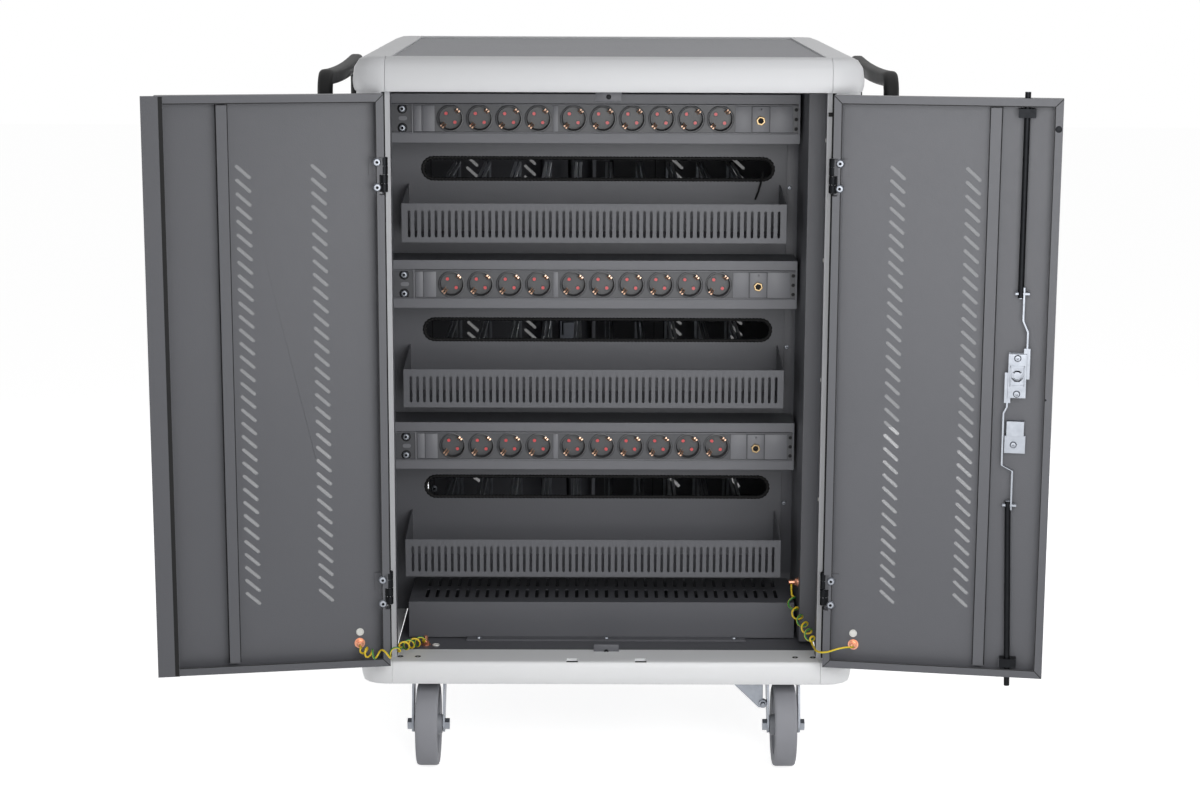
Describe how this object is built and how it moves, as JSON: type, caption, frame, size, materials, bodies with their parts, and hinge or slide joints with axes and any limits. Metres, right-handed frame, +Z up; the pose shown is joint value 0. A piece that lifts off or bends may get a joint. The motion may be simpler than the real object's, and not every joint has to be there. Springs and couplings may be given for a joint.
{
  "type": "laptop charging cart",
  "caption": "Steel laptop charging cart on swivel casters: double doors front and rear, socket strips and slotted adapter trays in front, shelves with wire dividers behind, side push handles.",
  "frame": {"origin": "middle of the cart's bottom box face, on the floor, with the front doors open and the rear left door ajar", "axes": "+X to the right seen from the front, +Y from the front to the rear, +Z up"},
  "size_m": [1.2954, 0.9436, 1.071],
  "materials": {
    "rail_paint": "light grey satin powder coat",
    "top_paint": "anthracite fine-textured powder coat",
    "cabinet_paint": "anthracite powder coat",
    "strip_plastic": "black moulded plastic",
    "black_plastic": "black moulded plastic",
    "zinc_steel": "zinc plated",
    "grey_tyre": "grey non-marking rubber",
    "wire_jacket": "yellow and green curly wire"
  },
  "bodies": {
    "chassis": {"base_cover": "cabinet_paint", "bottom_rail_front": "rail_paint", "bottom_rail_left": "rail_paint", "bottom_rail_rear": "rail_paint", "bottom_rail_right": "rail_paint", "corner_post_front_left": "rail_paint", "corner_post_front_right": "rail_paint", "corner_post_rear_left": "rail_paint", "corner_post_rear_right": "rail_paint", "floor_panel": "cabinet_paint", "left_earth_wire": "wire_jacket", "left_handle": "black_plastic", "lower_adapter_tray": "cabinet_paint", "lower_bracket_channel": "cabinet_paint", "lower_laptop_shelf": "cabinet_paint", "lower_power_strip": "strip_plastic", "middle_adapter_tray": "cabinet_paint", "middle_bracket_channel": "cabinet_paint", "middle_laptop_shelf": "cabinet_paint", "middle_power_strip": "strip_plastic", "partition": "cabinet_paint", "right_earth_wire": "wire_jacket", "right_handle": "black_plastic", "side_panel_left": "cabinet_paint", "side_panel_right": "cabinet_paint", "top_panel": "top_paint", "top_rail_front": "rail_paint", "top_rail_left": "rail_paint", "top_rail_rear": "rail_paint", "top_rail_right": "rail_paint", "upper_adapter_tray": "cabinet_paint", "upper_bracket_channel": "cabinet_paint", "upper_laptop_shelf": "cabinet_paint", "upper_power_strip": "strip_plastic", "wiring_duct": "cabinet_paint"},
    "front_left_leaf": {"front_door_left": "cabinet_paint"},
    "front_right_leaf": {"front_door_right": "cabinet_paint", "front_lock_case": "zinc_steel"},
    "front_lock_spindle_body": {"front_lock_spindle": "zinc_steel"},
    "front_lock_lever_body": {"front_lock_lever": "black_plastic"},
    "front_upper_rod_body": {"front_upper_rod": "zinc_steel"},
    "front_lower_rod_body": {"front_lower_rod": "zinc_steel"},
    "front_left_fork": {"fork_front_left": "zinc_steel"},
    "front_left_wheel": {"wheel_front_left": "grey_tyre"},
    "front_right_fork": {"fork_front_right": "zinc_steel"},
    "front_right_wheel": {"wheel_front_right": "grey_tyre"},
    "front_brake": {"brake_pedal_front_right": "zinc_steel"},
    "rear_right_leaf": {"rear_door_right": "cabinet_paint", "rear_overlap_strip": "cabinet_paint"},
    "rear_left_leaf": {"rear_door_left": "cabinet_paint", "rear_lock_case": "zinc_steel"},
    "rear_lock_spindle_body": {"rear_lock_spindle": "zinc_steel"},
    "rear_lock_lever_body": {"rear_lock_lever": "black_plastic"},
    "rear_upper_rod_body": {"rear_upper_rod": "zinc_steel"},
    "rear_lower_rod_body": {"rear_lower_rod": "zinc_steel"},
    "rear_left_fork": {"fork_rear_left": "zinc_steel"},
    "rear_left_wheel": {"wheel_rear_left": "grey_tyre"},
    "rear_right_fork": {"fork_rear_right": "zinc_steel"},
    "rear_right_wheel": {"wheel_rear_right": "grey_tyre"},
    "rear_brake": {"brake_pedal_rear_left": "zinc_steel"}
  },
  "joints": [
    {"name": "front_left_hinge", "type": "hinge", "parent": "chassis", "child": "front_left_leaf", "pos_m": [-0.31591, -0.3882, 0.6], "axis": [0, 0, 1], "range_deg": [0, 170], "deforming": ["left_earth_wire"]},
    {"name": "front_right_hinge", "type": "hinge", "parent": "chassis", "child": "front_right_leaf", "pos_m": [0.33109, -0.3882, 0.6], "axis": [0, 0, -1], "range_deg": [0, 170], "deforming": ["right_earth_wire"]},
    {"name": "front_spindle_turn", "type": "hinge", "parent": "front_right_leaf", "child": "front_lock_spindle_body", "pos_m": [0.59745, -0.43822, 0.624], "axis": [0.1736, 0.9848, 0], "range_deg": [0, 90]},
    {"name": "front_lever_lift", "type": "hinge", "parent": "front_lock_spindle_body", "child": "front_lock_lever_body", "pos_m": [0.60006, -0.42344, 0.624], "axis": [0.9848, -0.1736, 0], "range_deg": [0, 25]},
    {"name": "front_upper_rod_slide", "type": "slide", "parent": "front_right_leaf", "child": "front_upper_rod_body", "axis": [0, 0, -1], "range_m": [0, 0.013]},
    {"name": "front_lower_rod_slide", "type": "slide", "parent": "front_right_leaf", "child": "front_lower_rod_body", "axis": [0, 0, 1], "range_m": [0, 0.013]},
    {"name": "front_left_swivel", "type": "hinge", "parent": "chassis", "child": "front_left_fork", "pos_m": [-0.26241, -0.3052, 0.137], "axis": [0, 0, 1], "continuous": true},
    {"name": "front_left_roll", "type": "hinge", "parent": "front_left_fork", "child": "front_left_wheel", "pos_m": [-0.26241, -0.3402, 0.0625], "axis": [1, 0, 0], "continuous": true},
    {"name": "front_right_swivel", "type": "hinge", "parent": "chassis", "child": "front_right_fork", "pos_m": [0.27759, -0.3052, 0.137], "axis": [0, 0, 1], "continuous": true},
    {"name": "front_right_roll", "type": "hinge", "parent": "front_right_fork", "child": "front_right_wheel", "pos_m": [0.27759, -0.3402, 0.0625], "axis": [1, 0, 0], "continuous": true},
    {"name": "front_brake_press", "type": "hinge", "parent": "front_right_fork", "child": "front_brake", "pos_m": [0.24579, -0.3402, 0.0965], "axis": [0, -1, 0], "range_deg": [0, 20]},
    {"name": "rear_right_hinge", "type": "hinge", "parent": "chassis", "child": "rear_right_leaf", "pos_m": [0.33109, 0.3578, 0.6], "axis": [0, 0, -1], "range_deg": [0, 170]},
    {"name": "rear_left_hinge", "type": "hinge", "parent": "chassis", "child": "rear_left_leaf", "pos_m": [-0.31591, 0.3578, 0.6], "axis": [0, 0, 1], "range_deg": [-20, 150]},
    {"name": "rear_spindle_turn", "type": "hinge", "parent": "rear_left_leaf", "child": "rear_lock_spindle_body", "pos_m": [-0.06022, 0.44767, 0.624], "axis": [-0.342, 0.9397, 0], "range_deg": [0, 90]},
    {"name": "rear_lever_lift", "type": "hinge", "parent": "rear_lock_spindle_body", "child": "rear_lock_lever_body", "pos_m": [-0.06535, 0.46176, 0.624], "axis": [0.9397, 0.342, 0], "range_deg": [0, 25]},
    {"name": "rear_upper_rod_slide", "type": "slide", "parent": "rear_left_leaf", "child": "rear_upper_rod_body", "axis": [0, 0, -1], "range_m": [0, 0.013]},
    {"name": "rear_lower_rod_slide", "type": "slide", "parent": "rear_left_leaf", "child": "rear_lower_rod_body", "axis": [0, 0, 1], "range_m": [0, 0.013]},
    {"name": "rear_left_swivel", "type": "hinge", "parent": "chassis", "child": "rear_left_fork", "pos_m": [-0.26241, 0.2748, 0.137], "axis": [0, 0, 1], "continuous": true},
    {"name": "rear_left_roll", "type": "hinge", "parent": "rear_left_fork", "child": "rear_left_wheel", "pos_m": [-0.26241, 0.3098, 0.0625], "axis": [1, 0, 0], "continuous": true},
    {"name": "rear_right_swivel", "type": "hinge", "parent": "chassis", "child": "rear_right_fork", "pos_m": [0.27759, 0.2748, 0.137], "axis": [0, 0, 1], "continuous": true},
    {"name": "rear_right_roll", "type": "hinge", "parent": "rear_right_fork", "child": "rear_right_wheel", "pos_m": [0.27759, 0.3098, 0.0625], "axis": [1, 0, 0], "continuous": true},
    {"name": "rear_brake_press", "type": "hinge", "parent": "rear_left_fork", "child": "rear_brake", "pos_m": [-0.23061, 0.3098, 0.0965], "axis": [0, 1, 0], "range_deg": [0, 20]}
  ],
  "couplings": [
    {"joint": "front_upper_rod_slide", "follows": "front_spindle_turn", "m_per_rad": 0.008276},
    {"joint": "front_lower_rod_slide", "follows": "front_spindle_turn", "m_per_rad": 0.008276},
    {"joint": "rear_upper_rod_slide", "follows": "rear_spindle_turn", "m_per_rad": 0.008276},
    {"joint": "rear_lower_rod_slide", "follows": "rear_spindle_turn", "m_per_rad": 0.008276}
  ]
}
